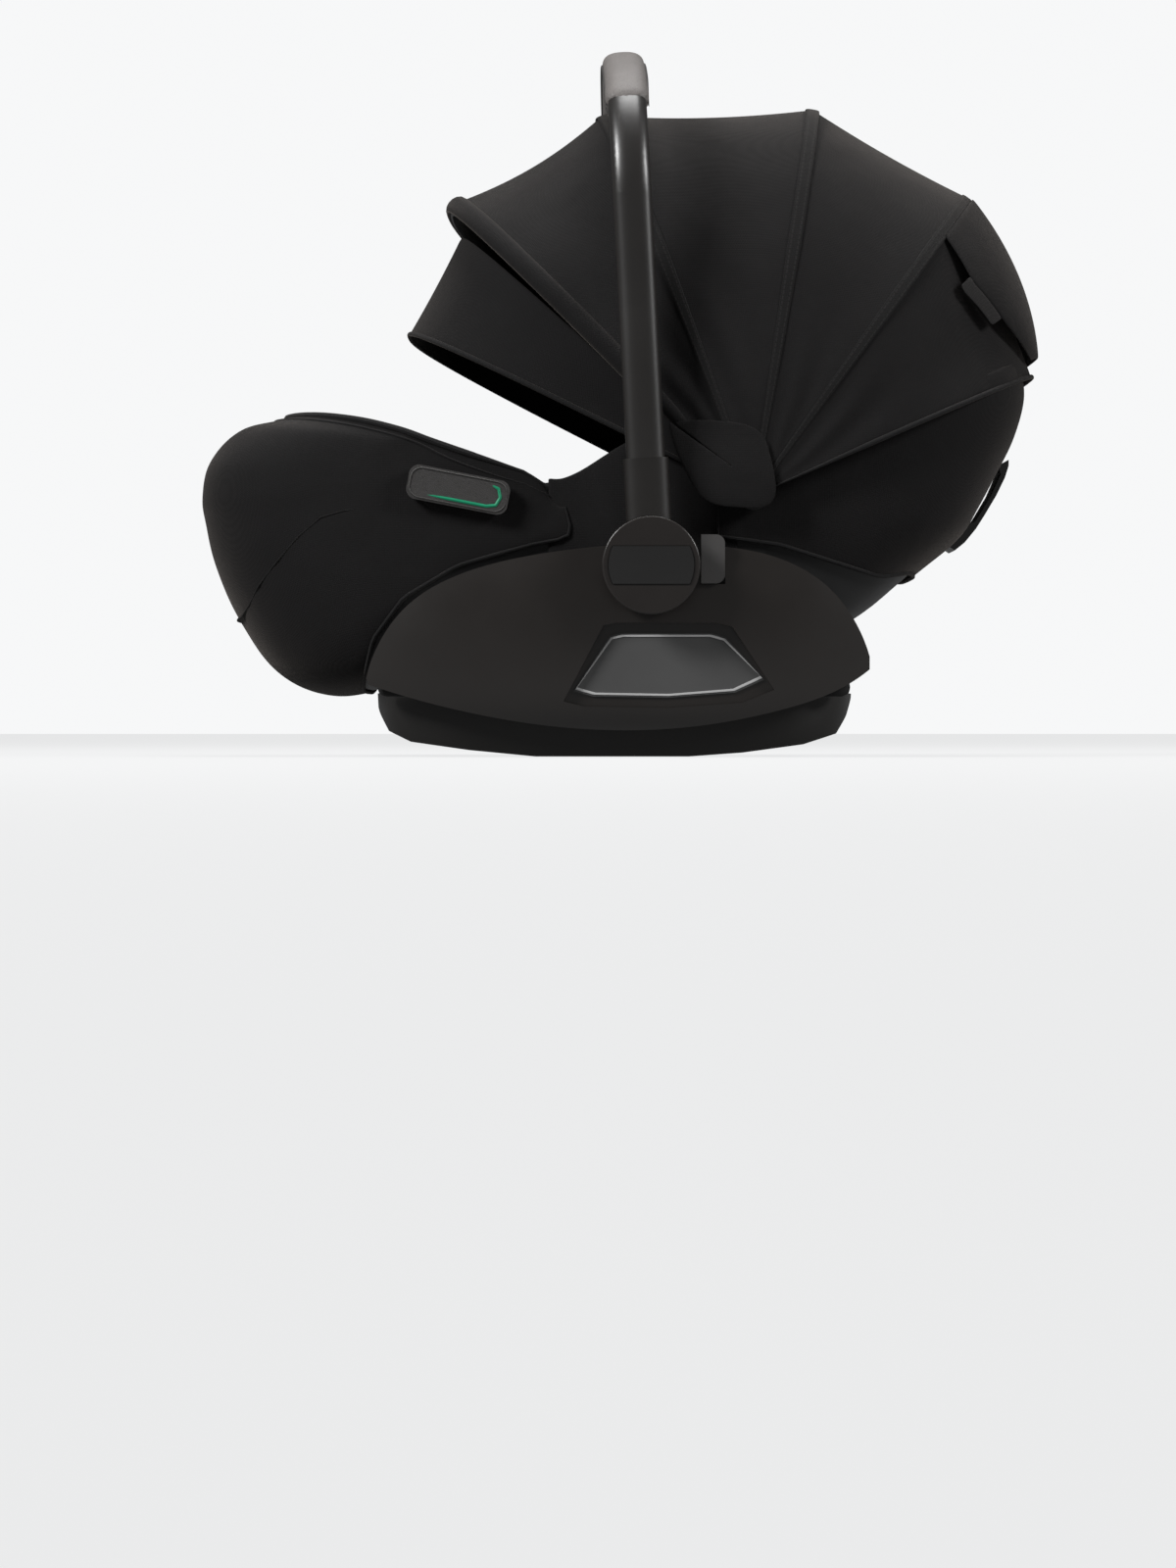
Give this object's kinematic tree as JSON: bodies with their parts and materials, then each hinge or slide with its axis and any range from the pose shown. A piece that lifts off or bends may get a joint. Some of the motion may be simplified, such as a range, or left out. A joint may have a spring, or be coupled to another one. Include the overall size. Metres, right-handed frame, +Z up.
{
  "type": "infant car seat",
  "caption": "Rearward-facing infant carrier: reclining padded bucket with harness and folding canopy, rocker base with steel latch bars, and a swinging carry handle with hub buttons.",
  "frame": {"origin": "on the surface the carrier stands on, under the middle of the whole seat's length and width", "axes": "+Z up, -X towards the child's feet and +X towards the head, so +Y is the child's right"},
  "size_m": [0.6751, 0.442, 0.5695],
  "materials": {
    "black_fabric": "matte",
    "pad_fabric": "matte",
    "webbing": "satin",
    "fairing_gloss": "satin",
    "shell_plastic": "matte",
    "black_plastic": "satin",
    "leatherette": "satin",
    "tube_paint": "satin",
    "label": "matte",
    "steel": "satin",
    "spring_steel": "satin",
    "rubber": "matte",
    "foam": "matte",
    "red_button": "satin",
    "grey_tab": "satin"
  },
  "bodies": {
    "carrier": {"rocker_tray": "black_plastic", "side_fairing_left": "fairing_gloss", "side_fairing_right": "fairing_gloss", "label_plates": "label", "front_latch_bar": "steel", "rear_latch_bar": "steel", "latch_brackets": "black_plastic", "recline_rails": "black_plastic", "side_plates": "black_plastic", "fairing_screws": "steel", "rocker_bumpers": "rubber", "detent_rings": "black_plastic", "pivot_bolts": "steel", "release_spring_left": "spring_steel", "release_spring_right": "spring_steel"},
    "handle": {"handle_grip": "leatherette", "handle_knuckle_left": "black_plastic", "handle_knuckle_right": "black_plastic", "handle_tube": "tube_paint", "hub_cap_left": "black_plastic", "hub_cap_right": "black_plastic", "button_spring_left": "spring_steel", "button_spring_right": "spring_steel"},
    "hub_button_left": {"hub_button_left": "black_plastic"},
    "hub_button_right": {"hub_button_right": "black_plastic"},
    "release_tab_left": {"release_tab_left": "grey_tab"},
    "release_tab_right": {"release_tab_right": "grey_tab"},
    "seat": {"recline_runners": "black_plastic", "bucket_shell": "shell_plastic", "foam_liner": "foam", "seat_pad": "pad_fabric", "foot_cover": "black_fabric", "back_cover": "black_fabric", "belt_hook_left": "leatherette", "belt_hook_right": "leatherette", "rear_belt_guide": "black_plastic", "canopy_bow_rear": "black_plastic", "canopy_panel_rear": "black_fabric", "vent_flap": "black_fabric", "canopy_pins": "steel", "buckle_body": "black_plastic", "buckle_pad": "pad_fabric", "buckle_tongues": "steel", "lap_straps": "webbing", "crotch_strap": "webbing", "adjuster_housing": "black_plastic", "adjuster_strap": "webbing"},
    "buckle_button": {"buckle_button": "red_button"},
    "adjuster_button": {"adjuster_button": "black_plastic"},
    "headrest": {"headrest_board": "black_plastic", "headrest_pad": "pad_fabric", "shoulder_pads": "pad_fabric", "shoulder_straps": "webbing"},
    "third_bow": {"canopy_bow_third": "black_plastic", "canopy_panel_back": "black_fabric"},
    "second_bow": {"canopy_bow_second": "black_plastic", "canopy_panel_top": "black_fabric"},
    "front_bow": {"canopy_bow_front": "black_plastic", "canopy_panel_front": "black_fabric"},
    "visor": {"visor": "black_fabric"}
  },
  "joints": [
    {"name": "handle_swing", "type": "hinge", "parent": "carrier", "child": "handle", "pos_m": [0.02, 0, 0.148], "axis": [0, 1, 0], "range_deg": [-100, 98]},
    {"name": "hub_button_left_press", "type": "slide", "parent": "handle", "child": "hub_button_left", "axis": [0, 1, 0], "range_m": [0, 0.0035], "stiffness_N_per_m": 900, "springref_m": -0.001, "deforming": ["button_spring_left"]},
    {"name": "hub_button_right_press", "type": "slide", "parent": "handle", "child": "hub_button_right", "axis": [0, -1, 0], "range_m": [0, 0.0035], "stiffness_N_per_m": 900, "springref_m": -0.001, "deforming": ["button_spring_right"]},
    {"name": "release_tab_left_press", "type": "slide", "parent": "carrier", "child": "release_tab_left", "axis": [0, 1, 0], "range_m": [0, 0.003], "stiffness_N_per_m": 900, "springref_m": -0.001, "deforming": ["release_spring_left"]},
    {"name": "release_tab_right_press", "type": "slide", "parent": "carrier", "child": "release_tab_right", "axis": [0, -1, 0], "range_m": [0, 0.003], "stiffness_N_per_m": 900, "springref_m": -0.001, "deforming": ["release_spring_right"]},
    {"name": "recline", "type": "hinge", "parent": "carrier", "child": "seat", "pos_m": [0.01, 0, 0.33], "axis": [0, 1, 0], "range_deg": [0, 10]},
    {"name": "headrest_height", "type": "slide", "parent": "seat", "child": "headrest", "axis": [0.5662, 0, 0.8243], "range_m": [0, 0.04], "deforming": ["shoulder_straps"]},
    {"name": "buckle_press", "type": "slide", "parent": "seat", "child": "buckle_button", "axis": [0, 0, -1], "range_m": [0, 0.0025], "stiffness_N_per_m": 800, "springref_m": -0.001},
    {"name": "adjuster_press", "type": "slide", "parent": "seat", "child": "adjuster_button", "axis": [-0.3291, 0, -0.9443], "range_m": [0, 0.002], "stiffness_N_per_m": 800, "springref_m": -0.001},
    {"name": "canopy_fold", "type": "hinge", "parent": "seat", "child": "third_bow", "pos_m": [0.1, 0, 0.203], "axis": [0, 1, 0], "range_deg": [0, 16], "deforming": ["canopy_panel_back"]},
    {"name": "canopy_fold_second", "type": "hinge", "parent": "third_bow", "child": "second_bow", "pos_m": [0.1, 0, 0.203], "axis": [0, 1, 0], "range_deg": [0, 23], "deforming": ["canopy_panel_top"]},
    {"name": "canopy_fold_front", "type": "hinge", "parent": "second_bow", "child": "front_bow", "pos_m": [0.1, 0, 0.203], "axis": [0, 1, 0], "range_deg": [0, 17], "deforming": ["canopy_panel_front"]},
    {"name": "visor_fold", "type": "hinge", "parent": "front_bow", "child": "visor", "pos_m": [0.1, 0, 0.203], "axis": [0, 1, 0], "range_deg": [0, 14]}
  ],
  "couplings": [
    {"joint": "canopy_fold_second", "follows": "canopy_fold", "ratio": 1.4375},
    {"joint": "canopy_fold_front", "follows": "canopy_fold", "ratio": 1.0625}
  ]
}
